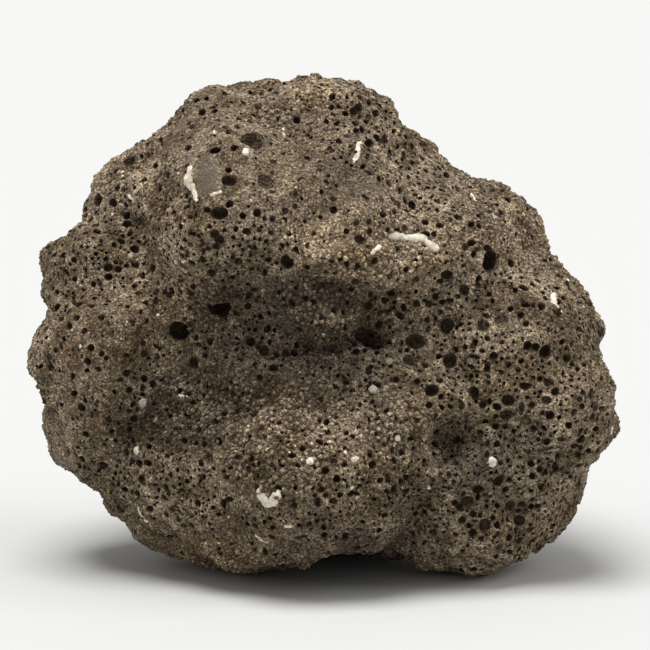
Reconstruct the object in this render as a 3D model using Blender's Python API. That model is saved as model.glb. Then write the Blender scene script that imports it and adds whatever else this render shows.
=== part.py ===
"""A pumice stone, 90 mm wide, standing on three worn feet.

The stone is one piece.  It is shaped in a working frame that looks along +Y at its face, in
millimetres, with x to the right and z up from the foot line.  Rounded lobes are joined into one
body, a few hollows are cut, the skin is roughened, the feet are worn flat and the larger gas holes
are cut.  Last, the stone leans back on its feet and is brought to metres, with the middle of its
box's base at the origin.
"""

import math
from typing import NamedTuple

import bmesh
import bpy
from mathutils import Matrix, Vector, noise

STONE_WIDTH = 0.090
LEAN_BACK = math.radians(8.0)
FOOT_WEAR = 0.8
JOINING_VOXEL = 1.0
SMOOTHING_PASSES = 16
FACES_BEFORE_HOLES = 5600
MM = 0.001

# Gas holes on the face are placed by sight lines from this point in front of the stone.
SIGHT_POINT = Vector((0.0, -550.0, 38.4))

# Gas holes on the hidden sides are spread on sight lines from this point inside the stone.
HEART = Vector((0.0, 4.0, 37.0))

# Roughness of the skin, from coarse to fine: (size of a bump, how far it stands out).
ROUGHNESS = ((9.0, 0.7), (4.5, 0.6), (2.2, 0.2))

# Rounded knobs with creases between them: how wide a knob is, and how deep the creases are.
KNOB_SIZE = 7.0
CREASE_DEPTH = 2.2
KNOB_MIDDLE = 0.45


class Lobe(NamedTuple):
    """A rounded body: its middle, its half sizes, and its turn about the line of sight."""

    x: float
    y: float
    z: float
    across: float
    deep: float
    high: float
    turn: float = 0.0


class Vesicle(NamedTuple):
    """A gas hole in the face: where it is seen, and its half sizes."""

    x: float
    z: float
    across: float
    high: float


CORE = (
    Lobe(0.0, 5.0, 37.0, 36.0, 27.0, 31.5),
    Lobe(-11.5, 16.0, 42.0, 26.0, 17.0, 23.0),
    Lobe(11.5, 16.0, 37.5, 26.0, 16.0, 23.0),
)

CROWN = (
    Lobe(1.5, 2.0, 64.0, 12.5, 17.0, 12.0),
    Lobe(-9.5, 2.0, 65.0, 9.0, 15.0, 10.5),
    Lobe(-15.0, 0.0, 64.0, 11.0, 16.0, 10.5),
    Lobe(10.0, 6.0, 62.0, 7.5, 13.0, 7.0),
)

RIGHT_SIDE = (
    Lobe(23.0, 12.0, 50.0, 11.5, 15.0, 11.5),
    Lobe(31.5, 4.0, 44.0, 6.5, 13.0, 6.5),
    Lobe(35.0, 0.0, 38.0, 7.0, 14.0, 7.0),
    Lobe(34.5, -5.0, 26.0, 10.0, 18.0, 10.0),
    Lobe(26.5, 2.0, 17.0, 13.5, 21.0, 13.5),
)

LEFT_SIDE = (
    Lobe(-26.5, 7.0, 56.5, 10.0, 15.0, 10.0),
    Lobe(-33.5, 3.0, 46.5, 10.0, 16.0, 8.5),
    Lobe(-34.5, 0.0, 34.5, 10.0, 17.0, 7.5),
    Lobe(-32.5, 2.0, 23.5, 10.5, 17.0, 10.0),
    Lobe(-22.0, 2.0, 15.0, 11.5, 17.0, 11.5),
)

FEET = (
    Lobe(22.0, -2.0, 10.5, 11.5, 17.0, 10.0),
    Lobe(-12.0, -2.0, 16.5, 16.0, 22.0, 15.5),
    Lobe(7.0, 4.0, 8.5, 8.5, 17.0, 6.0),
    Lobe(-3.0, 19.0, 13.8, 20.0, 12.0, 11.0),
)

BROW = (
    Lobe(-14.0, -9.0, 54.0, 13.0, 22.0, 16.0),
    Lobe(-7.0, -9.0, 53.0, 10.0, 21.0, 13.0),
    Lobe(0.0, -10.0, 52.5, 14.0, 21.0, 14.5, 25.0),
    Lobe(15.0, -9.0, 49.0, 14.0, 17.0, 10.5, 10.0),
    Lobe(-1.0, -19.5, 43.5, 8.0, 9.0, 5.5),
)

CHEEKS = (
    Lobe(21.0, -9.0, 43.5, 7.5, 14.0, 7.0),
    Lobe(27.5, -7.0, 36.0, 13.0, 17.0, 12.0),
    Lobe(27.0, -5.0, 27.0, 9.0, 16.5, 9.0),
    Lobe(-32.5, -5.0, 36.0, 13.5, 15.0, 9.0, -26.0),
    Lobe(-30.0, -1.0, 28.0, 10.0, 16.5, 9.0),
)

BELLY = (
    Lobe(-1.5, -11.5, 16.5, 17.0, 20.0, 14.0),
    Lobe(10.5, -11.5, 22.5, 13.5, 16.0, 12.5),
    Lobe(17.0, -12.0, 18.5, 10.0, 14.0, 7.5, -20.0),
    Lobe(-21.0, 1.0, 19.0, 13.5, 17.5, 11.5),
)

BACK = (
    Lobe(-13.0, 25.0, 54.0, 13.0, 11.0, 11.0),
    Lobe(11.0, 27.0, 49.0, 14.0, 10.0, 12.0),
    Lobe(-8.0, 30.0, 33.0, 13.0, 9.0, 12.0, 30.0),
    Lobe(15.0, 27.0, 27.0, 12.0, 11.0, 12.0),
    Lobe(-25.0, 17.0, 35.0, 11.0, 13.0, 13.0),
    Lobe(26.0, 16.0, 38.0, 11.0, 13.0, 12.0),
)

HOLLOWS = (
    Lobe(20.0, -28.0, 21.5, 5.8, 10.0, 4.6, -25.0),
    Lobe(8.5, -28.0, 37.0, 4.5, 11.0, 2.5, 10.0),
    Lobe(4.0, -33.0, 60.0, 6.0, 8.0, 2.0, 40.0),
    Lobe(-29.5, -16.0, 53.0, 3.5, 10.0, 4.5),
    Lobe(-5.0, -33.0, 34.5, 18.0, 14.0, 5.0),
    Lobe(4.0, 42.0, 40.0, 3.0, 9.0, 11.0, 20.0),
)

FACE_HOLES = (
    Vesicle(-2.7, 70.6, 0.9, 0.5),
    Vesicle(-11.2, 66.3, 1.5, 1.5),
    Vesicle(-29.8, 63.5, 0.8, 0.5),
    Vesicle(-14.6, 60.4, 1.0, 0.7),
    Vesicle(-9.0, 60.2, 1.1, 1.1),
    Vesicle(-16.2, 55.5, 1.1, 0.8),
    Vesicle(5.2, 51.5, 0.8, 0.5),
    Vesicle(25.0, 48.2, 1.1, 1.3),
    Vesicle(-5.7, 48.1, 0.8, 0.8),
    Vesicle(18.4, 46.3, 0.7, 0.6),
    Vesicle(-23.9, 46.1, 0.8, 0.8),
    Vesicle(-16.2, 40.6, 1.5, 1.3),
    Vesicle(26.8, 39.1, 0.8, 0.8),
    Vesicle(24.2, 38.3, 0.7, 0.7),
    Vesicle(18.5, 38.3, 0.9, 0.9),
    Vesicle(-22.3, 37.5, 1.3, 1.3),
    Vesicle(13.8, 35.9, 1.3, 0.9),
    Vesicle(8.2, 35.4, 0.8, 0.5),
    Vesicle(33.6, 34.4, 0.8, 0.8),
    Vesicle(19.0, 33.0, 0.8, 0.9),
    Vesicle(12.9, 33.0, 0.8, 0.7),
    Vesicle(-20.0, 32.6, 0.7, 0.7),
    Vesicle(16.3, 28.5, 0.8, 0.7),
    Vesicle(27.9, 26.9, 0.8, 0.7),
    Vesicle(27.7, 24.7, 0.8, 0.6),
    Vesicle(30.6, 23.9, 0.7, 0.7),
    Vesicle(-17.7, 18.1, 0.6, 0.6),
    Vesicle(26.5, 14.6, 0.8, 0.5),
    Vesicle(23.5, 13.2, 0.7, 0.5),
    Vesicle(21.7, 11.6, 0.8, 0.5),
    Vesicle(29.6, 8.6, 0.7, 0.6),
    Vesicle(24.4, 7.9, 0.7, 1.0),
)

# Holes on the sides, back and top: how many, their turn from one to the next, and their sizes.
HIDDEN_HOLES = 18
GOLDEN_TURN = math.radians(137.5)
HIDDEN_HOLE_SIZES = (1.1, 1.5, 0.9, 1.3, 1.0)
# A hidden hole is left out where it would fall on the face or under the feet.
FACE_LIMIT = 0.35
UNDERSIDE_LIMIT = -0.55

STONE_COLOUR = (0.105, 0.078, 0.055, 1.0)
STONE_ROUGHNESS = 0.95


def clear_scene() -> None:
    """Remove every object that the scene starts with."""
    for old in list(bpy.data.objects):
        bpy.data.objects.remove(old, do_unlink=True)


def link(name: str, mesh: bpy.types.Mesh) -> bpy.types.Object:
    """Make an object of a mesh and put it in the scene."""
    made = bpy.data.objects.new(name, mesh)
    bpy.context.scene.collection.objects.link(made)
    return made


def lobes_object(name: str, lobes: tuple[Lobe, ...]) -> bpy.types.Object:
    """Make one object of many rounded lobes that may overlap."""
    shape = bmesh.new()
    for lobe in lobes:
        place = Matrix.Translation((lobe.x, lobe.y, lobe.z))
        turn = Matrix.Rotation(math.radians(lobe.turn), 4, "Y")
        stretch = Matrix.Diagonal((lobe.across, lobe.deep, lobe.high, 1.0))
        bmesh.ops.create_icosphere(shape, subdivisions=4, radius=1.0, matrix=place @ turn @ stretch)
    mesh = bpy.data.meshes.new(name)
    shape.to_mesh(mesh)
    shape.free()
    return link(name, mesh)


def join_by_voxels(piece: bpy.types.Object) -> None:
    """Give an object a Remesh modifier that joins what overlaps into one skin."""
    remesh = piece.modifiers.new("Join lobes", "REMESH")
    remesh.mode = "VOXEL"
    remesh.voxel_size = JOINING_VOXEL


def cut_with(piece: bpy.types.Object, cutter: bpy.types.Object) -> None:
    """Give an object a Boolean modifier that takes another one away from it."""
    cutter.hide_render = True
    cutter.display_type = "WIRE"
    cut = piece.modifiers.new("Cut " + cutter.name, "BOOLEAN")
    cut.operation = "DIFFERENCE"
    cut.solver = "EXACT"
    cut.object = cutter


def settle(piece: bpy.types.Object, *cutters: bpy.types.Object) -> None:
    """Apply an object's modifiers to its mesh, and remove the cutters that they used."""
    graph = bpy.context.evaluated_depsgraph_get()
    mesh = bpy.data.meshes.new_from_object(piece.evaluated_get(graph))
    piece.modifiers.clear()
    piece.data = mesh
    for cutter in cutters:
        bpy.data.objects.remove(cutter, do_unlink=True)


def lump_stone() -> bpy.types.Object:
    """Join the lobes, cut the hollows and soften the creases between them."""
    everything = CORE + CROWN + RIGHT_SIDE + LEFT_SIDE + FEET + BROW + CHEEKS + BELLY + BACK
    stone = lobes_object("pumice_stone", everything)
    join_by_voxels(stone)
    hollows = lobes_object("hollows", HOLLOWS)
    join_by_voxels(hollows)
    cut_with(stone, hollows)
    join_by_voxels(stone)
    soften = stone.modifiers.new("Soften creases", "SMOOTH")
    soften.factor = 0.5
    soften.iterations = SMOOTHING_PASSES
    settle(stone, hollows)
    return stone


def roughen(stone: bpy.types.Object) -> None:
    """Push the skin in and out by noise of several sizes."""
    vertices = stone.data.vertices
    normals = [vertex.normal.copy() for vertex in vertices]
    for vertex, normal in zip(vertices, normals):
        place = vertex.co.copy()
        push = sum(height * noise.noise(place / size) for size, height in ROUGHNESS)
        nearest = noise.voronoi(place / KNOB_SIZE)[0][0]
        push += CREASE_DEPTH * (KNOB_MIDDLE - nearest)
        vertex.co = place + normal * push


def thin_out(stone: bpy.types.Object) -> None:
    """Bring the mesh down to the faces that the shape needs."""
    faces = 2 * len(stone.data.polygons)
    fewer = stone.modifiers.new("Fewer faces", "DECIMATE")
    fewer.decimate_type = "COLLAPSE"
    fewer.use_collapse_triangulate = True
    fewer.ratio = FACES_BEFORE_HOLES / faces
    settle(stone)


def wear_feet(stone: bpy.types.Object) -> None:
    """Cut the feet flat on the plane that they will stand on, and close the cuts."""
    down = Vector((0.0, math.sin(LEAN_BACK), -math.cos(LEAN_BACK)))
    wear_line = max(vertex.co.dot(down) for vertex in stone.data.vertices) - FOOT_WEAR
    shape = bmesh.new()
    shape.from_mesh(stone.data)
    bmesh.ops.bisect_plane(
        shape,
        geom=shape.verts[:] + shape.edges[:] + shape.faces[:],
        dist=0.02,
        plane_co=down * wear_line,
        plane_no=down,
        clear_outer=True,
    )
    rims = [edge for edge in shape.edges if edge.is_boundary]
    for vertex in {vertex for edge in rims for vertex in edge.verts}:
        vertex.co -= down * (vertex.co.dot(down) - wear_line)
    bmesh.ops.holes_fill(shape, edges=rims, sides=0)
    bmesh.ops.triangulate(shape, faces=[face for face in shape.faces if len(face.verts) > 3])
    bmesh.ops.recalc_face_normals(shape, faces=shape.faces[:])
    shape.to_mesh(stone.data)
    shape.free()


def add_hole(cutters: bmesh.types.BMesh, place: Vector, across: float, high: float) -> None:
    """Add the rounded cutter of one gas hole, its middle on the skin."""
    sizes = Matrix.Diagonal((across, (across + high) / 2.0, high, 1.0))
    spot = Matrix.Translation(place)
    bmesh.ops.create_icosphere(cutters, subdivisions=2, radius=1.0, matrix=spot @ sizes)


def cut_face_holes(stone: bpy.types.Object, cutters: bmesh.types.BMesh) -> None:
    """Place the holes of the face where their sight lines meet the skin."""
    for hole in FACE_HOLES:
        sight = (Vector((hole.x, 0.0, hole.z)) - SIGHT_POINT).normalized()
        met, place, _, _ = stone.ray_cast(SIGHT_POINT, sight)
        if met:
            add_hole(cutters, place, hole.across, hole.high)


def cut_hidden_holes(stone: bpy.types.Object, cutters: bmesh.types.BMesh) -> None:
    """Spread holes over the sides, back and top by an even spiral."""
    for index in range(HIDDEN_HOLES):
        rise = 1.0 - 2.0 * (index + 0.5) / HIDDEN_HOLES
        reach = math.sqrt(1.0 - rise * rise)
        turn = index * GOLDEN_TURN
        outward = Vector((reach * math.cos(turn), reach * math.sin(turn), rise))
        if outward.y < -FACE_LIMIT or outward.z < UNDERSIDE_LIMIT:
            continue
        met, place, _, _ = stone.ray_cast(HEART, outward)
        size = HIDDEN_HOLE_SIZES[index % len(HIDDEN_HOLE_SIZES)]
        if met:
            add_hole(cutters, place, size, size)


def pierce(stone: bpy.types.Object) -> None:
    """Cut the larger gas holes into the skin."""
    bpy.context.view_layer.update()
    shape = bmesh.new()
    cut_face_holes(stone, shape)
    cut_hidden_holes(stone, shape)
    mesh = bpy.data.meshes.new("gas_holes")
    shape.to_mesh(mesh)
    shape.free()
    holes = link("gas_holes", mesh)
    cut_with(stone, holes)
    settle(stone, holes)


def stand(stone: bpy.types.Object) -> None:
    """Lean the stone back on its feet, size it, and put its base's middle at the origin."""
    mesh = stone.data
    mesh.transform(Matrix.Rotation(-LEAN_BACK, 4, "X"))
    width = max(vertex.co.x for vertex in mesh.vertices) - min(vertex.co.x for vertex in mesh.vertices)
    mesh.transform(Matrix.Scale(STONE_WIDTH / width, 4))
    lows = [min(vertex.co[axis] for vertex in mesh.vertices) for axis in range(3)]
    highs = [max(vertex.co[axis] for vertex in mesh.vertices) for axis in range(3)]
    base = Vector(((lows[0] + highs[0]) / 2.0, (lows[1] + highs[1]) / 2.0, lows[2]))
    mesh.transform(Matrix.Translation(-base))
    mesh.shade_flat()


def dress(stone: bpy.types.Object) -> None:
    """Give the stone its plain dry-stone material."""
    pumice = bpy.data.materials.new("pumice")
    pumice.use_nodes = True
    shader = pumice.node_tree.nodes["Principled BSDF"]
    shader.inputs["Base Color"].default_value = STONE_COLOUR
    shader.inputs["Roughness"].default_value = STONE_ROUGHNESS
    shader.inputs["Metallic"].default_value = 0.0
    stone.data.materials.clear()
    stone.data.materials.append(pumice)


def build() -> None:
    """Make the whole stone."""
    clear_scene()
    stone = lump_stone()
    roughen(stone)
    thin_out(stone)
    wear_feet(stone)
    pierce(stone)
    stand(stone)
    dress(stone)


build()
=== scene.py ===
"""Looks of a pumice stone: its rough skin full of gas holes, its grains and its white fillings.

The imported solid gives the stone's form.  A fine copy of it is roughened and pierced, small grains
are seated on that skin, and white mineral is set into some of its hollows.  Lengths are metres in
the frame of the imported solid.  Places on the stone's face are given as they are seen from in front,
in points of the view, counted from its top left corner.
"""

import logging
import math
from collections.abc import Iterator, Sequence
from dataclasses import dataclass, field
from enum import Enum

import bmesh
import bpy
import numpy as np
from bpy.types import Material, Mesh, Node, NodeSocket, Object
from mathutils import Matrix, Vector, noise
from mathutils.bvhtree import BVHTree
from mathutils.kdtree import KDTree

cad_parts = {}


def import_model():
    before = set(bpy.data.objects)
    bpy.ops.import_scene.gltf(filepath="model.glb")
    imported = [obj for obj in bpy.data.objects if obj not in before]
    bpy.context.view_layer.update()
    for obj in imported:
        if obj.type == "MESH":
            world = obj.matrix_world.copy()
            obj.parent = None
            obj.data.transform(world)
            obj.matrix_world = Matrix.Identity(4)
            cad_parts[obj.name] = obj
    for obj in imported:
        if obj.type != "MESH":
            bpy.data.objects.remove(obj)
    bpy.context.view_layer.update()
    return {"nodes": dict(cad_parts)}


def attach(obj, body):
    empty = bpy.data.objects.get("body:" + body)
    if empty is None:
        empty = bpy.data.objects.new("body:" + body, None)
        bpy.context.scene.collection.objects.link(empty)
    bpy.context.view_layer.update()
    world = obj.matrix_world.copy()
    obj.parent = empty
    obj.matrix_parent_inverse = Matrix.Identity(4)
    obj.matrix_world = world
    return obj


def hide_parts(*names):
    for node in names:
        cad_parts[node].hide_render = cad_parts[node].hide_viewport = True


LOG = logging.getLogger("pumice")
MM = 0.001
SOLID = "pumice_stone"
BODY = "root"
# Numbers or flags, one row a place.
Rows = np.ndarray


def linear(code: str) -> tuple[float, ...]:
    """Turn an sRGB hex colour such as "#5a4e41" into the linear colour that shaders use.

    Args:
        code: The colour.

    Returns:
        Red, green, blue and alpha, linear.
    """
    parts = [int(code[start : start + 2], 16) / 255.0 for start in (1, 3, 5)]
    lit = [part / 12.92 if part <= 0.04045 else ((part + 0.055) / 1.055) ** 2.4 for part in parts]
    return (*lit, 1.0)


class Coat:
    """A material in the making: its nodes, and its colour so far."""

    def __init__(self, name: str, base: str, roughness: float) -> None:
        """Start a material.

        Args:
            name: The material's name.
            base: Its first colour, as sRGB hex.
            roughness: Its shader's roughness.
        """
        self.made = bpy.data.materials.new(name)
        self.made.use_nodes = True
        self.colour: object = linear(base)
        self.shader = self.made.node_tree.nodes["Principled BSDF"]
        self.shader.inputs["Base Color"].default_value = self.colour
        self.shader.inputs["Roughness"].default_value = roughness

    def add(self, kind: str, settings: dict[str, object] | None = None, **links: object) -> Node:
        """Add a node, set its properties and values, and link its inputs.

        Args:
            kind: The node's type name, without ShaderNode.
            settings: Node properties by name.
            **links: Inputs by name, or in0, in1 for an input by number; each is a value, or an output socket
                to link.

        Returns:
            The new node.
        """
        tree = self.made.node_tree
        node = tree.nodes.new("ShaderNode" + kind)
        for name, value in (settings or {}).items():
            setattr(node, name, value)
        for name, value in links.items():
            socket = node.inputs[int(name[2:]) if name[2:].isdigit() else name]
            if isinstance(value, NodeSocket):
                tree.links.new(value, socket)
            else:
                socket.default_value = value
        return node

    def lay(
        self, value: NodeSocket, limits: tuple[float, float], amounts: tuple[float, float], over: str = ""
    ) -> None:
        """Lay one coat over the colour so far, as strong as a value says.

        Args:
            value: The value that steers the coat.
            limits: The two values between which the coat's strength changes smoothly.
            amounts: Its strength at the two limits: how much of its colour covers, or how many times paler
                the colour so far gets.
            over: The coat's colour, as sRGB hex, or nothing to make the colour so far paler or darker.
        """
        smooth = {"interpolation_type": "SMOOTHSTEP"}
        ends = {"in1": limits[0], "in2": limits[1], "in3": amounts[0], "in4": amounts[1]}
        amount = self.add("MapRange", smooth, in0=value, **ends).outputs[0]
        if over:
            mixed = self.add("Mix", {"data_type": "RGBA"}, in0=amount, in6=self.colour, in7=linear(over))
        else:
            grey = self.add("CombineColor", in0=amount, in1=amount, in2=amount).outputs[0]
            way = {"data_type": "RGBA", "blend_type": "MULTIPLY"}
            mixed = self.add("Mix", way, in0=1.0, in6=self.colour, in7=grey)
        self.colour = mixed.outputs[2]

    def done(self, height: NodeSocket, strength: float, depth: float) -> Material:
        """Link the colour and a fine relief to the shader.

        Args:
            height: The relief's pattern.
            strength: How strongly it shows.
            depth: How deep it is.

        Returns:
            The finished material.
        """
        bump = self.add("Bump", Strength=strength, Distance=depth, Height=height)
        self.made.node_tree.links.new(bump.outputs["Normal"], self.shader.inputs["Normal"])
        self.made.node_tree.links.new(self.colour, self.shader.inputs["Base Color"])
        return self.made


def new_object(name: str, data: bpy.types.ID) -> Object:
    """Make an object of a mesh, a lamp or a camera, and put it in the scene."""
    made = bpy.data.objects.new(name, data)
    bpy.context.scene.collection.objects.link(made)
    return made


def as_mesh(name: str, shape: bmesh.types.BMesh) -> Mesh:
    """Turn a bmesh into a mesh, and free it."""
    mesh = bpy.data.meshes.new(name)
    shape.to_mesh(mesh)
    shape.free()
    return mesh


def apply_modifiers(piece: Object) -> None:
    """Turn an object's modifiers into its mesh."""
    graph = bpy.context.evaluated_depsgraph_get()
    mesh = bpy.data.meshes.new_from_object(piece.evaluated_get(graph))
    old = piece.data
    piece.modifiers.clear()
    piece.data = mesh
    bpy.data.meshes.remove(old)


def melt(piece: Object, voxel: float, softening: int) -> None:
    """Melt an object's parts and facets into one even skin.

    Args:
        piece: The object.
        voxel: The size of its new faces.
        softening: How many times it is smoothed.
    """
    fine = piece.modifiers.new("Even faces", "REMESH")
    fine.mode = "VOXEL"
    fine.voxel_size = voxel
    soften = piece.modifiers.new("Soften", "SMOOTH")
    soften.factor = 0.5
    soften.iterations = softening
    apply_modifiers(piece)


def search_tree(mesh: Mesh) -> BVHTree:
    """Make a search tree of a mesh's faces."""
    corners = [face.vertices for face in mesh.polygons]
    return BVHTree.FromPolygons([point.co for point in mesh.vertices], corners)


def read(mesh: Mesh, name: str = "co") -> Rows:
    """Read the places, or the normals, of a mesh's points, one a row."""
    values = np.empty(len(mesh.vertices) * 3, np.float32)
    mesh.vertices.foreach_get(name, values)
    return values.reshape(-1, 3).astype(float)


def keep(mesh: Mesh, name: str, values: Rows) -> None:
    """Keep one number a point on a mesh, for its finish."""
    made = mesh.attributes.new(name, "FLOAT", "POINT")
    made.data.foreach_set("value", values.astype(np.float32))


def push_out(mesh: Mesh, push: Rows) -> None:
    """Move a mesh's points along their normals by one length each, but not through the floor."""
    moved = read(mesh) + read(mesh, "normal") * push[:, None]
    moved[:, 2] = np.maximum(moved[:, 2], 0.0)
    mesh.vertices.foreach_set("co", moved.astype(np.float32).ravel())
    mesh.update()


def ball(faces_step: int) -> Mesh:
    """Make a ball of radius one from triangles, with 20 faces at step 1 and 80 at step 2."""
    shape = bmesh.new()
    bmesh.ops.create_icosphere(shape, subdivisions=faces_step, radius=1.0)
    return as_mesh("ball", shape)


def joined_copies(name: str, template: Mesh, frames: Rows, wobble: float, seed: int) -> Object:
    """Join many placed copies of one small mesh into one piece.

    Args:
        name: The new piece's name.
        template: The small mesh, about one unit in radius.
        frames: One 3 by 4 placing matrix for each copy.
        wobble: How unevenly each copy's points are moved in or out, as a share of its radius.
        seed: The seed of that unevenness.

    Returns:
        The joined piece.
    """
    points = read(template)
    corners = np.array([list(face.vertices) for face in template.polygons])
    draw = np.random.default_rng(seed)
    stretch = 1.0 + wobble * draw.uniform(-1.0, 1.0, (len(frames), len(points), 1))
    placed = np.einsum("cij,cpj->cpi", frames[:, :, :3], points[None] * stretch) + frames[:, None, :, 3]
    faces = corners[None] + (np.arange(len(frames)) * len(points))[:, None, None]
    mesh = bpy.data.meshes.new(name)
    mesh.from_pydata(placed.reshape(-1, 3).tolist(), [], faces.reshape(-1, 3).tolist())
    return new_object(name, mesh)


def upright(normals: Rows, spins: Rows) -> Rows:
    """Make turning matrices whose third axis follows each normal.

    Args:
        normals: One unit vector a row.
        spins: Each matrix's turn about its normal, in radians.

    Returns:
        One 3 by 3 matrix a row, axes in columns.
    """
    helper = np.where(np.abs(normals[:, 2:3]) < 0.9, [[0.0, 0.0, 1.0]], [[1.0, 0.0, 0.0]])
    first = np.cross(helper, normals)
    first /= np.linalg.norm(first, axis=1, keepdims=True)
    second = np.cross(normals, first)
    along = first * np.cos(spins)[:, None] + second * np.sin(spins)[:, None]
    return np.stack((along, np.cross(normals, along), normals), axis=2)


def upright_at(normal: Vector, spin: float) -> Rows:
    """Make the turning matrix whose third axis follows one normal."""
    return upright(np.array([normal]), np.array([spin]))[0]


def placing(axes: Rows, middle: Vector) -> Rows:
    """Make the 3 by 4 matrix that puts a ball of radius one at a place, with the given half axes."""
    return np.hstack((axes, np.array(middle)[:, None]))


def clear_of(balls: Sequence[tuple[Vector, float]], places: Rows) -> Rows:
    """Say which places lie outside all of some balls, given as middles and radii."""
    clear = np.ones(len(places), bool)
    for middle, radius in balls:
        clear &= np.linalg.norm(places - np.array(middle), axis=1) > radius
    return clear


def sample_surface(mesh: Mesh, count: int, seed: int) -> tuple[Rows, Rows]:
    """Pick random places spread evenly over a mesh.

    Args:
        mesh: The mesh.
        count: How many places.
        seed: The seed of the draw.

    Returns:
        The places and their face normals, one a row.
    """
    draw = np.random.default_rng(seed)
    mesh.calc_loop_triangles()
    corners = np.empty(len(mesh.loop_triangles) * 3, np.int32)
    mesh.loop_triangles.foreach_get("vertices", corners)
    start, one, two = read(mesh)[corners.reshape(-1, 3)].swapaxes(0, 1)
    outward = np.cross(one - start, two - start)
    area = np.linalg.norm(outward, axis=1)
    chosen = draw.choice(len(area), count, p=area / area.sum())
    first, second = draw.random(count), draw.random(count)
    over = first + second > 1.0
    first[over], second[over] = 1.0 - first[over], 1.0 - second[over]
    spots = start[chosen] + (one - start)[chosen] * first[:, None] + (two - start)[chosen] * second[:, None]
    return spots, outward[chosen] / area[chosen][:, None]


def spread_out(places: Rows, radii: Rows, wanted: Rows | None = None, order: Rows | None = None) -> Rows:
    """Choose places so that no two balls of the given radii overlap.

    Args:
        places: One place a row.
        radii: Each place's radius.
        wanted: Which places may be chosen, or nothing for all.
        order: The rows in the order in which they are tried, or nothing for their own order.

    Returns:
        The chosen rows' numbers.
    """
    cell = 2.0 * float(radii.max())
    keys = np.floor(places / cell).astype(int).tolist()
    spots, sizes = places.tolist(), radii.tolist()
    rows = np.arange(len(places)) if order is None else order
    kept: list[int] = []
    buckets: dict[tuple[int, ...], list[int]] = {}
    for index in (rows if wanted is None else rows[wanted[rows]]).tolist():
        x, y, z = keys[index]
        px, py, pz = spots[index]
        radius = sizes[index]
        if any(
            (spots[other][0] - px) ** 2 + (spots[other][1] - py) ** 2 + (spots[other][2] - pz) ** 2
            < (sizes[other] + radius) ** 2
            for dx in (-1, 0, 1)
            for dy in (-1, 0, 1)
            for dz in (-1, 0, 1)
            for other in buckets.get((x + dx, y + dy, z + dz), ())
        ):
            continue
        kept.append(index)
        buckets.setdefault((x, y, z), []).append(index)
    return np.array(kept)


@dataclass(frozen=True)
class Sight:
    """The view of the stone's face: the camera's place, and lines of sight through points of the view."""

    target: tuple[float, float, float] = (0.47 * MM, -2.26 * MM, 37.31 * MM)
    distance: float = 551.6 * MM
    elevation: float = math.radians(8.0)
    points: float = 650.0
    field_width: float = 99.4 * MM
    sensor: float = 36.0

    def step(self) -> float:
        """Give the size of a point of the view at the stone."""
        return self.field_width / self.points

    def back(self) -> Vector:
        """Give the direction from the target to the camera."""
        return Vector((0.0, -math.cos(self.elevation), math.sin(self.elevation)))

    def eye(self) -> Vector:
        """Give the camera's place."""
        return Vector(self.target) + self.back() * self.distance

    def seen_at(self, places: Rows) -> tuple[Rows, Rows]:
        """Say how far from the left and from the top of the view some places are seen.

        Args:
            places: One place a row.

        Returns:
            Both distances for each place, in points of the view.
        """
        back = np.array(self.back())
        up = np.cross([1.0, 0.0, 0.0], -back)
        offset = places - np.array(self.eye())
        shrink = self.distance / -(offset @ back) / self.step()
        half = self.points / 2.0
        return half + offset[:, 0] * shrink, half - (offset @ up) * shrink

    def line(self, across: float, down: float) -> Vector:
        """Give the direction of sight through a point of the view.

        Args:
            across: The point's distance from the left.
            down: Its distance from the top.

        Returns:
            A unit vector.
        """
        half = self.points / 2.0
        right = Vector((1.0, 0.0, 0.0))
        up = right.cross(-self.back())
        place = right * ((across - half) * self.step()) + up * ((half - down) * self.step())
        return (place - self.back() * self.distance).normalized()

    @staticmethod
    def spans(line: Vector, normal: Vector, wide: float, high: float, turn: float = 0.0) -> list[Vector]:
        """Find the two half axes in the skin that are seen as an oval of a given size.

        Args:
            line: The line of sight.
            normal: The skin's normal.
            wide: Half the oval's width, as seen.
            high: Half its height, as seen.
            turn: How far the oval is turned, in degrees.

        Returns:
            The two half axes, in the skin's plane.
        """
        roll = Matrix.Rotation(math.radians(turn), 3, line)
        right = Vector((1.0, 0.0, 0.0))
        found = []
        for way, size in ((right, wide), (right.cross(line).normalized(), high)):
            seen = roll @ way * size
            slide = -seen.dot(normal) / line.dot(normal) if abs(line.dot(normal)) > 0.05 else 0.0
            found.append(seen + line * max(-1.3 * size, min(1.3 * size, slide)))
        return found

    def camera(self) -> None:
        """Put the camera in the scene."""
        lens = bpy.data.cameras.new("camera")
        lens.sensor_width = self.sensor
        lens.lens = self.sensor * self.distance / self.field_width
        lens.clip_start = 0.01
        lens.clip_end = 20.0
        seen = new_object("camera", lens)
        seen.location = self.eye()
        seen.rotation_euler = (-self.back()).to_track_quat("-Z", "Y").to_euler()
        bpy.context.scene.camera = seen


class Texture(Enum):
    """How the stone's skin is built up in a patch of it, and where its pattern of patches is read."""

    BEADED = 0.0
    CELLULAR = 40.0
    FINE = 80.0


@dataclass(frozen=True)
class Patch:
    """A stretch of the skin with one texture, as a ball round its middle, in points of the view."""

    texture: Texture
    across: float
    down: float
    radius: float


@dataclass(frozen=True)
class Oval:
    """An oval of the stone's face: where it is seen and its half sizes, in points of the view.

    Its depth is a multiple of its mean half size for a gas hole, millimetres for a dent, and how much
    lighter or darker it is painted for a stretch of painted light and shade.  Its turn is in degrees.
    """

    across: float
    down: float
    wide: float
    high: float
    depth: float = 1.0
    turn: float = 0.0


@dataclass(frozen=True)
class Filling:
    """A white filling of the face: half its width and the path where it is seen, in points of the view."""

    half_width: float
    points: tuple[tuple[float, float], ...]


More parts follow.
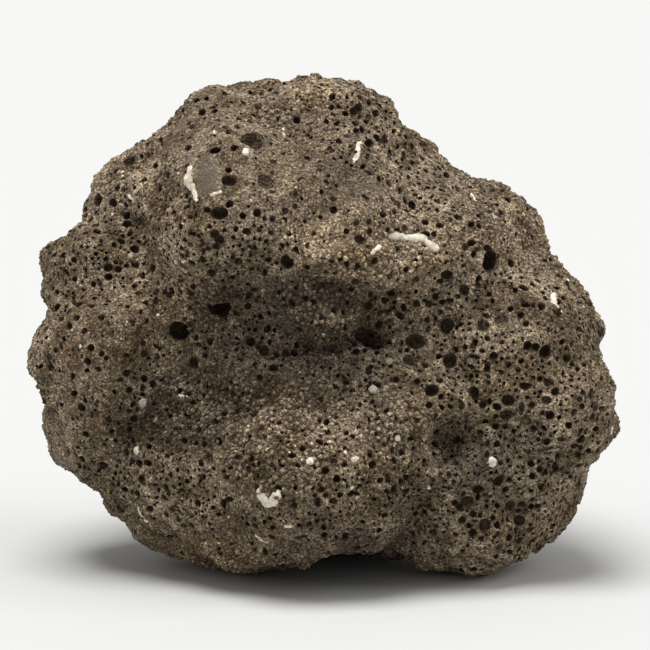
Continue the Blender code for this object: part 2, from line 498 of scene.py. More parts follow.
PATCHES = (
    Patch(Texture.CELLULAR, 505, 495, 95), Patch(Texture.CELLULAR, 560, 400, 60),
    Patch(Texture.CELLULAR, 400, 150, 55), Patch(Texture.CELLULAR, 100, 255, 60),
    Patch(Texture.CELLULAR, 230, 245, 40), Patch(Texture.CELLULAR, 470, 350, 45),
    Patch(Texture.CELLULAR, 258, 312, 22), Patch(Texture.CELLULAR, 386, 310, 20),
    Patch(Texture.CELLULAR, 122, 385, 24), Patch(Texture.CELLULAR, 372, 545, 26),
    Patch(Texture.BEADED, 318, 314, 42), Patch(Texture.BEADED, 275, 430, 70),
    Patch(Texture.BEADED, 200, 410, 45), Patch(Texture.BEADED, 395, 425, 32),
    Patch(Texture.FINE, 240, 150, 70), Patch(Texture.FINE, 330, 190, 50), Patch(Texture.FINE, 100, 340, 50),
)

LARGE_HOLES = (
    Oval(251.6, 142, 10.5, 10.5), Oval(218.5, 310.5, 10.5, 9.5, 2), Oval(178.5, 330.8, 9.2, 9.2, 1.8),
    Oval(489, 261, 8.6, 9.8, 1.8), Oval(415.5, 341.6, 9.5, 7, 1.1), Oval(219, 213, 8.5, 6, 1.2),
    Oval(229, 181, 7.5, 5.5), Oval(266, 182, 8.3, 8.3, 0.8), Oval(446, 326, 7, 7, 1.2),
    Oval(449.4, 360.5, 6.5, 7, 1.2), Oval(432, 390.3, 6.5, 5.5, 1.3), Oval(409.4, 360.8, 6.3, 5.4),
    Oval(287.3, 261.5, 6.4, 6.4, 1.4), Oval(545.4, 351.3, 6.2, 6.2, 1.3), Oval(358.9, 239.3, 6, 4.5, 1.3),
    Oval(445.9, 273.5, 5.8, 5, 1.2), Oval(508, 400.6, 6, 5.5, 1.2), Oval(506.4, 415, 6.5, 5, 1.1),
    Oval(498.7, 481, 6, 4.2, 1.2, -35), Oval(485, 525.5, 5.3, 7.5, 0.9), Oval(467.4, 501, 6.5, 4.5),
    Oval(478.8, 490.3, 5.5, 4.5, 1.1), Oval(194, 363, 5.6, 5.6, 1.3), Oval(129.4, 160.3, 6, 4.5, 1.2, -35),
    Oval(215.7, 152, 5.5, 3.5, 1.4), Oval(353.3, 361, 6, 4, 0.7), Oval(501, 320.3, 6.5, 6.5, 0.7),
    Oval(483.4, 325.6, 5.5, 5.5), Oval(464.3, 290.4, 5, 5, 1.2), Oval(378.6, 344.9, 6, 4.5, 1.2),
    Oval(264.2, 350.5, 5, 5), Oval(168, 274.7, 6, 6, 0.6), Oval(519.4, 520.9, 5.5, 5),
    Oval(525.5, 420.5, 5.5, 5.5, 0.7), Oval(510.2, 505.6, 4.5, 6), Oval(579.9, 432.6, 5, 4),
    Oval(549, 383, 5, 4), Oval(547, 400, 5, 4), Oval(521.7, 407.5, 3, 5.3), Oval(474.2, 391.7, 5, 5, 1.2),
    Oval(229, 499.6, 5, 2.8, 1.2), Oval(208.7, 458.2, 4.8, 4.8), Oval(219.2, 238.9, 4.7, 4.7, 1.3),
    Oval(307, 114, 7, 4, 0.5), Oval(286, 371.5, 6, 4, 0.5), Oval(174.3, 508.7, 5.5, 3),
)

# Middling and small holes of the face, one row a hole: across, down and radius, in points of the view.
SMALL_HOLES = (
    (202.4, 113.3, 4), (117.5, 188.4, 3.5), (114, 203, 4.5), (126, 223.5, 4.5), (143, 217, 4),
    (134.8, 248, 4.5), (66, 271.5, 4), (353.3, 112, 4), (356, 131.6, 3.5), (345.9, 138.9, 3.5),
    (338.3, 144.5, 3.3), (375.5, 113.3, 3.5), (257, 213, 4), (382.8, 215, 3.5), (394, 212, 3),
    (351.2, 261, 3.4), (351.2, 276.8, 4.2), (373.9, 280.8, 3), (500.3, 213.8, 4.5), (471.2, 224.5, 3.3),
    (439.5, 280.2, 3.9), (435.5, 296.5, 3.8), (442, 301.9, 3.2), (417, 304, 3.7), (489.2, 294.2, 3),
    (477.3, 285, 3), (520.9, 314.6, 3.5), (525.8, 324, 3.2), (493.4, 355.5, 4), (473.2, 364.3, 3.6),
    (475.3, 341.7, 3), (535.5, 346.7, 4), (568.4, 357.8, 4.2), (592, 315, 3.5), (558.4, 278.2, 3.5),
    (602.8, 409.3, 3.3), (428.3, 406.4, 3.7), (482.7, 404.9, 3.7), (531.6, 405.2, 3.7), (495.7, 426.2, 3.4),
    (396, 380.4, 3.3), (345.9, 382, 3.2), (372.2, 401.3, 3), (306.3, 296.8, 3.2), (248.8, 310.5, 3.8),
    (250.2, 341.8, 4.5), (276.8, 355, 3), (338.6, 316.5, 3), (339.3, 307.7, 3.3), (346.3, 302.5, 3),
    (371.5, 308, 3.5), (378.6, 326, 4), (367.3, 345, 3.5), (68.4, 311.2, 4), (79.6, 304.9, 4),
    (92.3, 307.7, 3.5), (62, 319.9, 3), (69, 326, 4), (77.5, 319, 3.5), (49, 358, 3.5), (90.9, 347.7, 3.7),
    (127.3, 373, 4), (181.4, 279, 4), (193.3, 286.6, 3), (202, 280.6, 3), (152.6, 268.4, 4),
    (165.2, 292.3, 3.2), (108.4, 267.7, 4.5), (133.7, 418, 3.6), (215.7, 422.3, 3.7), (102.8, 466, 4.5),
    (142, 478.6, 3.5), (150.5, 447.7, 3), (151.9, 440, 3), (325.2, 470.9, 4), (387, 481.4, 3),
    (401, 481.4, 3.5), (407.3, 477.9, 3.3), (391.9, 489.8, 3.6), (383.5, 514.4, 3.4), (304.2, 536, 3.5),
    (411, 439, 3.5), (454.8, 502.9, 3.5), (472.7, 533.2, 4), (462, 519.4, 4), (473.2, 514, 3.5),
    (419.9, 509.4, 4), (429, 508.7, 3), (537.8, 505.6, 3.2), (530.9, 506, 3), (530, 529.3, 3.5),
    (519.4, 540, 4), (507, 536.2, 3.5), (541.6, 487, 3.8), (545.4, 471.2, 3.4), (538.5, 468.9, 3.4),
    (556.4, 468.9, 3.2), (557.7, 457.4, 3), (578.3, 454.3, 3.5), (587.5, 449.4, 3), (569.9, 507, 3),
    (432.9, 531.6, 3.5), (190, 217, 2.6), (195.4, 215, 2.6), (195.4, 233.6, 2.6), (202.4, 240.6, 2.4),
    (211.5, 227, 2.6), (207.3, 249.4, 2.4), (187.7, 255.2, 2.4), (232.6, 255, 2.6), (159, 163.8, 2.5),
    (159, 173.4, 2.4), (161.7, 140.7, 2.6), (228.4, 131.6, 2.5), (220.6, 145, 2.2), (236.8, 89.7, 2.8),
    (290, 111, 2.4), (316, 93.7, 2.4), (307.7, 135.5, 2.5), (358.9, 93.7, 2.6), (375.7, 128.3, 2.4),
    (383.9, 142.4, 2.6), (387.7, 229.8, 2.8), (282.4, 245.2, 2.5), (304.9, 221.4, 2.4), (314, 234, 2.4),
    (255, 247, 2.4), (250, 254, 2.4), (337.2, 254.3, 2.6), (460.9, 324.4, 2.6), (466.6, 347.8, 2.6),
    (473.2, 355.5, 2.4), (470.7, 376.4, 2.6), (476, 371.5, 2.4), (572.7, 364.2, 2.6), (577.3, 329, 2.6),
    (126.4, 355, 2.6), (106.3, 358.2, 2.6), (160.3, 349, 2.6), (142.8, 389, 2.8), (194, 402.4, 2.8),
    (203.8, 396, 2.4), (187.7, 416.4, 2.8), (85.2, 401, 2.6), (370, 455.4, 2.8), (375.6, 434, 2.4),
    (356.8, 493.3, 2.6), (258.6, 476.5, 2.6), (274.7, 482, 2.4), (424.2, 461, 2.6), (455.9, 463, 2.6),
    (449.7, 487.2, 2.6), (462.8, 549.2, 2.8), (336.5, 417, 2.4),
)
SMALL_HOLE_DEPTH = 1.25

FACE_FILLINGS = (
    Filling(4.3, ((391, 237), (397, 236), (410, 238.5), (420, 238), (430, 243), (436, 248))),
    Filling(3, ((378, 247.5), (373, 254))), Filling(2.4, ((191, 168), (190, 175))),
    Filling(4.2, ((189.5, 177), (188.5, 182), (191, 187))),
    Filling(2.6, ((187, 184), (192.5, 186), (194, 193), (196.5, 200))),
    Filling(2.4, ((212, 194.5), (220.5, 192))), Filling(2.8, ((215, 131.6),)),
    Filling(4, ((245.3, 152.6),)), Filling(1.8, ((283.5, 127), (284, 135))),
    Filling(2.8, ((361, 141), (357, 147), (358, 154), (354.5, 160))),
    Filling(1.5, ((472, 193.5), (478, 203.5))), Filling(3.2, ((554, 295), (554.6, 302))),
    Filling(1.2, ((556, 305), (560, 314))), Filling(4.6, ((137.9, 450.5),)),
    Filling(1.9, ((135, 504.5), (141, 512), (148, 520.5))), Filling(2.6, ((180, 499),)),
    Filling(1.9, ((229, 517),)),
    Filling(5, ((260.5, 492.5), (264.5, 499), (269, 503), (274, 499.5), (278, 494))),
    Filling(2, ((256, 536), (262, 541), (268, 540))), Filling(3.9, ((309.8, 461.3),)),
    Filling(4.3, ((355.7, 460),)), Filling(2.6, ((345.6, 451.2),)), Filling(3, ((360.5, 434.8),)),
    Filling(4.4, ((398.4, 438),)), Filling(2, ((381.4, 425.3),)), Filling(1.6, ((329.4, 476.2),)),
    Filling(1.7, ((289.5, 452.2),)), Filling(1.6, ((351, 489), (354, 486))),
    Filling(1.7, ((285, 527), (291, 526))), Filling(4.7, ((493, 462.5),)), Filling(2.3, ((429, 488.8),)),
    Filling(2.7, ((159, 314),)), Filling(2.3, ((80.3, 346.3),)), Filling(2.2, ((180, 396), (184, 396.5))),
    Filling(1.8, ((65, 281.7),)), Filling(1.7, ((128, 194.7), (133, 201.7))), Filling(1.7, ((113, 215),)),
    Filling(2.6, ((121.7, 170.8),)),
)

# Small caves, scoops and grooves (above nought) and swells (below nought), beyond the face's roughness.
DENTS = (
    Oval(371, 338, 17, 11, 3.2, 20), Oval(350, 342, 14, 7, 1.7, -14), Oval(331, 349, 15, 8, 1.9, 4),
    Oval(309, 344, 14, 7, 1.1, 26), Oval(292, 330, 10, 8, 0.9, 50), Oval(452, 429, 36, 18, 1.4, -14),
    Oval(442, 442, 16, 10, 0.6, -10), Oval(482, 436, 26, 9, -0.5, 12), Oval(232, 326, 60, 28, 1.4, -5),
    Oval(158, 200, 7, 46, 0.9), Oval(272, 196, 28, 9, -0.6, -10), Oval(372, 264, 85, 27, -2.4, 4),
    Oval(385, 308, 46, 17, 1.2, 10), Oval(321, 317, 34, 22, -2.6, -6), Oval(334, 327, 22, 12, -1.2, -12),
    Oval(234, 88, 34, 24, -1, -12), Oval(300, 80, 44, 28, -1.3), Oval(470, 178, 40, 28, 1, 30),
    Oval(324, 558, 28, 18, 1.3), Oval(358, 556, 34, 15, 0.7), Oval(412, 560, 34, 20, -1.7),
    Oval(472, 572, 26, 15, -0.8), Oval(46, 418, 22, 24, -0.9), Oval(42, 384, 18, 16, 1.1),
    Oval(62, 237, 24, 24, 0.8), Oval(44, 297, 20, 20, -0.6), Oval(100, 502, 28, 26, -0.8),
    Oval(74, 468, 18, 16, 0.6), Oval(175, 556, 36, 18, -0.7), Oval(574, 507, 22, 20, 0.6),
    Oval(534, 556, 24, 18, -0.3), Oval(352, 184, 34, 22, 0.6), Oval(176, 116, 26, 24, 0.8),
    Oval(214, 88, 18, 16, -0.7), Oval(94, 190, 22, 22, 0.5),
)

# Stretches of the face painted lighter (above nought) or darker (below nought): painted light and shade.
PAINTED_LIGHT_AND_SHADE = (
    Oval(370, 246, 95, 42, 1.8, 6), Oval(445, 240, 50, 30, 0.3, 20), Oval(511, 240, 44, 38, 0.35),
    Oval(320, 97, 42, 26, 0.7), Oval(363, 112, 34, 32, -0.5), Oval(348, 172, 44, 34, -0.8),
    Oval(128, 176, 52, 40, 0.75), Oval(335, 440, 85, 32, 0.5), Oval(285, 438, 46, 36, 0.6),
    Oval(150, 300, 46, 40, 0.35), Oval(185, 270, 22, 40, 0.3, 25), Oval(70, 368, 42, 36, 0.5),
    Oval(215, 562, 80, 34, 1.2), Oval(452, 424, 44, 22, 0.2, -10), Oval(508, 376, 48, 38, 0.9),
    Oval(588, 500, 40, 40, 0.3), Oval(334, 321, 30, 16, 0.5, -8), Oval(350, 343, 17, 8, -1, -14),
    Oval(332, 349, 18, 8, -1.1, 4), Oval(308, 344, 14, 8, -0.7, 26), Oval(285, 302, 104, 40, -0.95),
    Oval(225, 370, 110, 40, -0.6), Oval(496, 458, 94, 66, -0.75), Oval(415, 500, 50, 44, -0.4),
    Oval(150, 428, 70, 50, -0.6), Oval(62, 270, 40, 60, -0.3), Oval(382, 264, 46, 20, 0.8),
    Oval(532, 213, 34, 28, 1, 30), Oval(440, 572, 64, 18, 1.5, 4), Oval(413, 424, 24, 24, 0.6),
    Oval(174, 212, 26, 24, 0.7), Oval(372, 330, 32, 18, -1.1), Oval(128, 228, 28, 22, -0.5),
    Oval(439, 181, 32, 22, -0.5), Oval(231, 271, 30, 18, -0.5), Oval(546, 545, 30, 26, 0.7),
    Oval(360, 547, 32, 20, -1.4), Oval(246, 514, 30, 22, -0.5), Oval(313, 531, 36, 26, -0.7),
    Oval(295, 344, 96, 26, -0.8), Oval(138, 398, 36, 26, -0.5), Oval(465, 456, 34, 24, -0.9),
    Oval(376, 372, 44, 34, -0.4), Oval(511, 305, 44, 32, -0.3),
)

# Pale chips among the grains of the face: across, down and half size, in points of the view, and paleness.
FACE_CHIPS = (
    (142.8, 403, 4.6, 1.5), (155.4, 419.8, 3.3, 1.5), (373, 389.8, 5.4, 1.6), (389, 361, 4, 1.5),
    (394, 340.7, 2.8, 1.7), (324, 334, 2.2, 1.9), (264, 290, 3.6, 1.5), (300, 373, 2, 1.9),
    (217, 441, 3, 1.5), (130.8, 256.4, 4, 1.4), (176, 262, 2.4, 1.6), (446, 421, 2, 1.8),
    (522, 391, 2, 1.8),
)

GLASSY_PATCH = Oval(207.5, 176, 14.5, 21.5)
# How far the holes of the face turn from the skin's normal to the eye, so that their mouths stay round.
TURN_TO_EYE = 0.6
# Holes that reach further than this have broken rims, and grains keep further off them.
WIDE_REACH = 0.7 * MM

# The solid's own holes on its sides, back and top: spread by the golden angle round its middle.
HEART = (0.47 * MM, 1.52 * MM, 35.37 * MM)
LEAN_BACK = math.radians(8.0)
GOLDEN_TURN = math.radians(137.5)
HIDDEN_HOLES = 18
HIDDEN_HOLE_SIZES = (1.1 * MM, 1.5 * MM, 0.9 * MM, 1.3 * MM, 1.0 * MM)


def golden_way(turn: float, rise: float) -> Vector:
    """Give the unit vector with a turn about the upright and a rise from -1 to 1."""
    reach = math.sqrt(1.0 - rise * rise)
    return Vector((reach * math.cos(turn), reach * math.sin(turn), rise))


@dataclass(frozen=True)
class PumiceFinish:
    """Dry vesicular pumice, never worked: dull grey-brown, with painted shade down in its holes and pores.

    It gives the eye a matt crumbly stone with tan dusting on some lumps and no shine at all.
    """

    name: str = "dry_vesicular_pumice"
    deep_brown: str = "#76644c"
    grey_brown: str = "#9d8b74"
    tan_dust: str = "#b1a288"
    broken_edge: str = "#aa9c85"
    # The colour of painted shade: down in holes and pores, in recesses, and between and under grains.
    shade_colour: str = "#1c0d02"
    glass_grey: str = "#5f574a"
    pale_speck: str = "#c9c0b0"
    roughness: float = 0.94
    specular: float = 0.25
    lump_size: float = 9.0 * MM
    mottle_size: float = 2.4 * MM
    # Real grit, flecks and fine pores are under a tenth of a millimetre: drawn coarser, so that they show.
    grit_size: float = 0.17 * MM
    fleck_size: float = 0.24 * MM
    crumb_size: float = 0.42 * MM
    pore_spacing: float = 0.64 * MM
    pit_spacing: float = 1.75 * MM
    relief: float = 0.13 * MM

    def material(self) -> Material:
        """Build the stone's material.

        Returns:
            The material.
        """
        coat = Coat(self.name, self.deep_brown, self.roughness)
        coat.shader.inputs["Specular IOR Level"].default_value = self.specular
        place = coat.add("TexCoord").outputs["Object"]
        lumps, mottle, grit = (
            coat.add("TexNoise", Vector=place, Scale=1.0 / size, Detail=detail, Roughness=0.6).outputs[0]
            for size, detail in ((self.lump_size, 4.0), (self.mottle_size, 3.0), (self.grit_size, 2.0))
        )
        depth, rim, glassy, tone, light_and_shade = (
            coat.add("Attribute", {"attribute_name": name}).outputs["Fac"]
            for name in ("painted_shade", "rim", "glassy", "tone", "light_and_shade")
        )
        coat.lay(lumps, (0.36, 0.62), (0.0, 1.0), self.grey_brown)
        coat.lay(mottle, (0.5, 0.72), (0.0, 0.55), self.tan_dust)
        coat.lay(rim, (0.0, 1.0), (0.0, 0.5), self.broken_edge)
        coat.lay(mottle, (0.32, 0.68), (0.76, 1.24))
        coat.lay(grit, (0.3, 0.7), (0.8, 1.2))
        # Ash flecks and crumbs: each cell has its own tone, and is darker round its edge, as painted shade
        # in the crevices between them.
        for size, tones, crevice_shade in (
            (self.fleck_size, (0.58, 1.42), (1.12, 0.55)),
            (self.crumb_size, (0.74, 1.26), (1.15, 0.55)),
        ):
            crumbs = coat.add("TexVoronoi", Vector=place, Scale=1.0 / size)
            own = coat.add("SeparateColor", in0=crumbs.outputs["Color"]).outputs[0]
            coat.lay(own, (0.0, 1.0), tones)
            coat.lay(crumbs.outputs["Distance"], (0.3, 0.8), crevice_shade)
        # Painted light and shade: stretches of the face made lighter or darker.
        coat.lay(light_and_shade, (-1.5, 1.5), (0.35, 1.65))
        coat.lay(tone, (-1.0, 1.0), (0.72, 1.25))
        coat.lay(tone, (1.1, 2.0), (0.0, 1.0), self.pale_speck)
        # Pores too fine to be holes in the mesh, drawn as spots of painted shade: each cell draws a radius,
        # and stays shut below nought.
        scaled = {"operation": "MULTIPLY_ADD"}
        for spacing, spread, least in ((self.pore_spacing, 0.50, -0.14), (self.pit_spacing, 0.70, -0.34)):
            cells = coat.add("TexVoronoi", Vector=place, Scale=1.0 / spacing)
            own = coat.add("SeparateColor", in0=cells.outputs["Color"]).outputs[0]
            radius = coat.add("Math", scaled, in0=own, in1=spread, in2=least).outputs[0]
            inward = coat.add("Math", {"operation": "SUBTRACT"}, in0=radius, in1=cells.outputs["Distance"])
            coat.lay(inward.outputs[0], (-0.04, 0.05), (0.0, 0.93), self.shade_colour)
        coat.lay(glassy, (0.0, 1.0), (0.0, 0.78), self.glass_grey)
        # Painted shade down in holes, in recesses, in gaps between grains and under grains.
        coat.lay(depth, (0.08, 0.85), (0.0, 0.92), self.shade_colour)
        smooth = {"interpolation_type": "SMOOTHSTEP"}
        far = crumbs.outputs["Distance"]
        cobbles = coat.add("MapRange", smooth, in0=far, in1=0.1, in2=0.8, in3=1.0, in4=0.0).outputs[0]
        height = coat.add("Math", scaled, in0=grit, in1=0.5, in2=cobbles).outputs[0]
        return coat.done(height, 0.85, self.relief)


@dataclass(frozen=True)
class FillingFinish:
    """Chalky zeolite grown in old gas holes, left as it broke: dull white with cream stains."""

    name: str = "chalky_zeolite"
    white: str = "#dcd4c5"
    cream: str = "#b9ae97"
    roughness: float = 0.85
    stain_size: float = 0.9 * MM
    grain_size: float = 0.2 * MM
    relief: float = 0.08 * MM

    def material(self) -> Material:
        """Build the filling's material.

        Returns:
            The material.
        """
        coat = Coat(self.name, self.white, self.roughness)
        place = coat.add("TexCoord").outputs["Object"]
        stain, grain = (
            coat.add("TexNoise", Vector=place, Scale=1.0 / size, Detail=detail).outputs[0]
            for size, detail in ((self.stain_size, 4.0), (self.grain_size, 3.0))
        )
        coat.lay(stain, (0.4, 0.65), (0.0, 1.0), self.cream)
        return coat.done(grain, 0.6, self.relief)


@dataclass(frozen=True)
class PaperFinish:
    """Seamless studio paper: matt white, so that the stone stands on a pale even ground."""

    name: str = "white_studio_paper"
    white: str = "#c6c6c5"
    roughness: float = 0.9

    def material(self) -> Material:
        """Build the paper's material."""
        return Coat(self.name, self.white, self.roughness).made


@dataclass(frozen=True)
class Pit:
    """A gas hole in its place: its middle, half axes as columns (the last outward), reach and the painted
    shade down in it.
    """

    middle: Vector
    axes: Rows
    reach: float
    pit_shade: float


def ball_pit(place: Vector, outward: Vector, radius: float, spin: float) -> Pit:
    """Place a roughly round gas hole on the skin.

    Args:
        place: The middle of its mouth.
        outward: The skin's normal there.
        radius: Its radius.
        spin: Its turn about the normal, which also sets how oval it is.

    Returns:
        The placed hole.
    """
    oval = 0.97 + 0.11 * math.sin(spin * 3.0)
    axes = upright_at(outward, spin) * np.array([radius / oval, radius * oval, radius * 1.25])
    # The last value is how much painted shade lies down in the hole.
    return Pit(place - outward * (radius * 0.3), axes, radius * 1.27, 0.95 if radius < 0.45 * MM else 0.8)


def by_pit(
    pits: Sequence[Pit], places: Rows, room: float = 0.0, wide_room: float = 0.0
) -> Iterator[tuple[Pit, list[int], Rows]]:
    """Find the places in and close round each gas hole.

    Args:
        pits: The gas holes.
        places: One place a row.
        room: How much the holes are widened first.
        wide_room: The same for the larger holes.

    Yields:
        For each hole with places near it, the hole, their rows, and where they are in it: nought is its
        middle, one its wall, and the third axis points outward.
    """
    tree = KDTree(len(places))
    for index, place in enumerate(places):
        tree.insert(place, index)
    tree.balance()
    for pit in pits:
        more = wide_room if pit.reach > WIDE_REACH else room
        near = [index for _, index, _ in tree.find_range(pit.middle, (pit.reach + more) * 1.1)]
        if near:
            axes = pit.axes * (1.0 + more / pit.reach)
            yield pit, near, (places[near] - np.array(pit.middle)) @ np.linalg.inv(axes).T


def shade_in_pits(pits: Sequence[Pit], places: Rows) -> tuple[Rows, Rows]:
    """Say how much painted shade each place gets for lying deep in a gas hole.

    Args:
        pits: The gas holes.
        places: One place a row.

    Returns:
        For each place, its painted shade (0 outside, rising with depth to the hole's shade at its bottom)
        and whether it lies on a rim (0 or 1).
    """
    depth, rim = np.zeros(len(places)), np.zeros(len(places))
    for pit, near, local in by_pit(pits, places):
        away = np.linalg.norm(local, axis=1)
        down = (0.3 - local[:, 2]) / 1.3
        inside = np.where((away < 1.08) & (down > 0.03), np.clip(0.3 + down, 0.0, 1.0) * pit.pit_shade, 0.0)
        depth[near] = np.maximum(depth[near], inside)
        if pit.reach > WIDE_REACH:
            rim[near] = np.maximum(rim[near], (np.abs(down) < 0.14) & (away > 0.85) & (away < 1.12))
    return depth, rim


def beside_pits(pits: Sequence[Pit], places: Rows, room: float, wide_room: float) -> Rows:
    """Say which places lie in gas holes or close round their mouths.

    Args:
        pits: The gas holes.
        places: One place a row.
        room: How far round a small hole's mouth still counts.
        wide_room: How far round a larger hole's mouth still counts.

    Returns:
        True for each such place.
    """
    beside = np.zeros(len(places), bool)
    for _, near, local in by_pit(pits, places, room, wide_room):
        beside[near] |= np.linalg.norm(local, axis=1) < 1.0
    return beside


@dataclass
class Skin:
    """The stone's skin: a fine copy of the solid, roughened and pierced by gas holes."""

    sight: Sight
    voxel: float = 0.40 * MM
    softening: int = 8
    guide_voxel: float = 1.1 * MM
    guide_softening: int = 10
    faces_before_holes: int = 120000
    faces_kept: int = 197500
    # Sizes and heights of its roughness, in millimetres.
    swells: tuple[tuple[float, float], ...] = ((5.0, 0.45), (0.9, 0.14))
    knobs: tuple[tuple[float, float], ...] = ((3.4, 0.66), (1.7, 0.36))
    texture_size: float = 11.0 * MM
    # Holes of the hidden sides, and small cells: how many at most, their least radius and its spread.
    hidden_holes: int = 620
    hidden_sizes: tuple[float, float] = (0.34 * MM, 1.10 * MM)
    cell_holes: int = 6000
    cell_sizes: tuple[float, float] = (0.22 * MM, 0.50 * MM)
    # How far the cells keep off small and large holes.
    cell_room: tuple[float, float] = (0.30 * MM, 0.55 * MM)
    crease: float = math.radians(42.0)
    seed: int = 11
    stone: Object = field(init=False)
    guide: BVHTree = field(init=False)
    patches: list[tuple[Texture, Vector, float]] = field(init=False, default_factory=list)
    pits: list[Pit] = field(init=False, default_factory=list)
    fillings: list[tuple[Vector, float]] = field(init=False, default_factory=list)

    def start(self) -> None:
        """Copy the solid twice, as a smooth guide and as the skin, and find the patches of its face."""
        guide = self._melted(self.guide_voxel, self.guide_softening)
        self.guide = search_tree(guide.data)
        bpy.data.objects.remove(guide, do_unlink=True)
        self.stone = self._melted(self.voxel, self.softening)
        for patch in PATCHES:
            met = self.guide.ray_cast(self.sight.eye(), self.sight.line(patch.across, patch.down))[0]
            if met is not None:
                self.patches.append((patch.texture, met, patch.radius * self.sight.step()))

    def build(self) -> Object:
        """Roughen and pierce the skin.

        Returns:
            The skin's object.
        """
        self._roughen()
        self._thin_out(self.faces_before_holes)
        self._pierce_face()
        self._pierce_hidden_sides()
        self._pierce_cells()
        self._thin_out(self.faces_kept)
        self._mark_hollows()
        return self.stone

    @staticmethod
    def _melted(voxel: float, softening: int) -> Object:
        """Copy the solid and melt its facets together.

        Args:
            voxel: The size of the copy's faces.
            softening: How many times the copy is smoothed.

        Returns:
            The copy.
        """
        shape = bmesh.new()
        shape.from_mesh(bpy.data.objects[SOLID].data)
        bmesh.ops.remove_doubles(shape, verts=shape.verts[:], dist=0.001 * MM)
        copy = new_object("stone_skin", as_mesh("stone_skin", shape))
        melt(copy, voxel, softening)
        return copy

    def share_of(self, texture: Texture, places: Rows) -> Rows:
        """Say how much of a texture the skin has at some places.

        Args:
            texture: The texture asked for.
            places: One place a row.

        Returns:
            A share from 0 to 1 for each place.
        """
        shift = Vector((texture.value, 0.0, 0.0))
        wide = np.array([noise.noise(Vector(place) / self.texture_size + shift) for place in places])
        share = np.clip(0.4 + 1.8 * wide, 0.0, 1.0)
        for kind, middle, radius in self.patches:
            away = np.linalg.norm(places - np.array(middle), axis=1) / radius
            near = np.clip(2.2 - 1.6 * away, 0.0, 1.0)
            share = share * (1.0 - near) + (1.0 if kind == texture else 0.0) * near
        return share

    def glassy(self, places: Rows) -> Rows:
        """Say how far each place lies in the smooth glassy patch of the face, from 0 to 1."""
        across, down = self.sight.seen_at(places)
        across, down = across - GLASSY_PATCH.across, down - GLASSY_PATCH.down
        away = np.hypot(across / GLASSY_PATCH.wide, down / GLASSY_PATCH.high)
        away += 0.12 * np.sin(np.arctan2(down, across) * 5.0)
        return np.clip((1.12 - away) * 3.2, 0.0, 1.0) * (places[:, 1] < 0.0)

    def light_and_shade(self, places: Rows) -> Rows:
        """Say how much the face is painted lighter or darker at each place, as painted light and shade."""
        return self._spread(PAINTED_LIGHT_AND_SHADE, places)

    def recess_shade(self, places: Rows) -> Rows:
        """Say how much painted shade each place gets for lying below the stone's smooth form, from 0 to 1.
        """
        below = np.empty(len(places))
        for index, place in enumerate(places):
            near, normal, _, _ = self.guide.find_nearest(Vector(place))
            below[index] = (near - Vector(place)).dot(normal)
        return 0.62 * np.clip((below - 0.3 * MM) / (2.1 * MM), 0.0, 1.0)

    def dented(self, place: Vector, normal: Vector, line: Vector) -> Vector:
        """Slide a place along its line of sight, from the smooth form to its dents and swells.

        Args:
            place: The place on the smooth form.
            normal: The form's normal there.
            line: The line of sight through it.

        Returns:
            The place once dented.
        """
        sunk = float(self._spread(DENTS, np.array([place]))[0]) * MM
        return place + line * (sunk / max(0.4, -line.dot(normal)))

    def _spread(self, spots: Sequence[Oval], places: Rows) -> Rows:
        """Add up soft-edged ovals of the face.

        Args:
            spots: The ovals, whose depths are how strong they are in the middle.
            places: One place a row.

        Returns:
            The strength at each place, which fades out towards the stone's back.
        """
        across, down = self.sight.seen_at(places)
        strength = np.zeros(len(places))
        for spot in spots:
            turn = math.radians(spot.turn)
            along = (across - spot.across) * math.cos(turn) + (down - spot.down) * math.sin(turn)
            athwart = (down - spot.down) * math.cos(turn) - (across - spot.across) * math.sin(turn)
            away = np.hypot(along / spot.wide, athwart / spot.high)
            strength += spot.depth * np.clip(1.0 - away**2.0, 0.0, 1.0) ** 1.2
        return strength * np.clip((13.0 * MM - places[:, 1]) / (8.0 * MM), 0.0, 1.0)

    @staticmethod
    def _knob(spot: Vector) -> float:
        """Give the height of a pattern of flattened knobs with creases between them."""
        rise = abs(noise.noise(spot))
        return 2.4 * (rise if rise < 0.3 else 0.3 + 0.3 * (rise - 0.3)) - 0.45

    def _roughen(self) -> None:
        """Push the skin in and out by swells and rounded knobs of several sizes."""
        places = read(self.stone.data)
        calm = np.maximum(0.45 * self.share_of(Texture.FINE, places), 0.9 * self.glassy(places))
        rough = np.empty(len(places))
        for index, place in enumerate(places):
            spot = Vector(place) / MM
            rough[index] = sum(high * noise.noise(spot / size) for size, high in self.swells)
            rough[index] += sum(
                high * self._knob(spot / size + Vector((7.0, 3.0, size))) for size, high in self.knobs
            )
        push_out(self.stone.data, (rough * (1.0 - calm) - self._spread(DENTS, places)) * MM)
        LOG.info("skin roughened")

    def _cut(self, pits: Sequence[Pit], faces_step: int) -> None:
        """Cut gas holes out of the skin, in batches in which none touch.

        Args:
            pits: The gas holes.
            faces_step: How fine each hole's cutter is.
        """
        middles, reaches = np.array([pit.middle for pit in pits]), np.array([pit.reach for pit in pits])
        left = np.arange(len(pits))
        number = 0
        while len(left):
            chosen = left[spread_out(middles[left], reaches[left])]
            left = np.setdiff1d(left, chosen)
            number += 1
            frames = np.array([placing(pits[row].axes, pits[row].middle) for row in chosen])
            cutter = joined_copies("gas_holes", ball(faces_step), frames, 0.04, self.seed + number)
            cut = self.stone.modifiers.new("Gas holes", "BOOLEAN")
            cut.operation = "DIFFERENCE"
            cut.solver = "MANIFOLD"
            cut.object = cutter
            apply_modifiers(self.stone)
            bpy.data.objects.remove(cutter, do_unlink=True)
        self.pits.extend(pits)
        LOG.info("%d holes cut: %d faces", len(pits), len(self.stone.data.polygons))

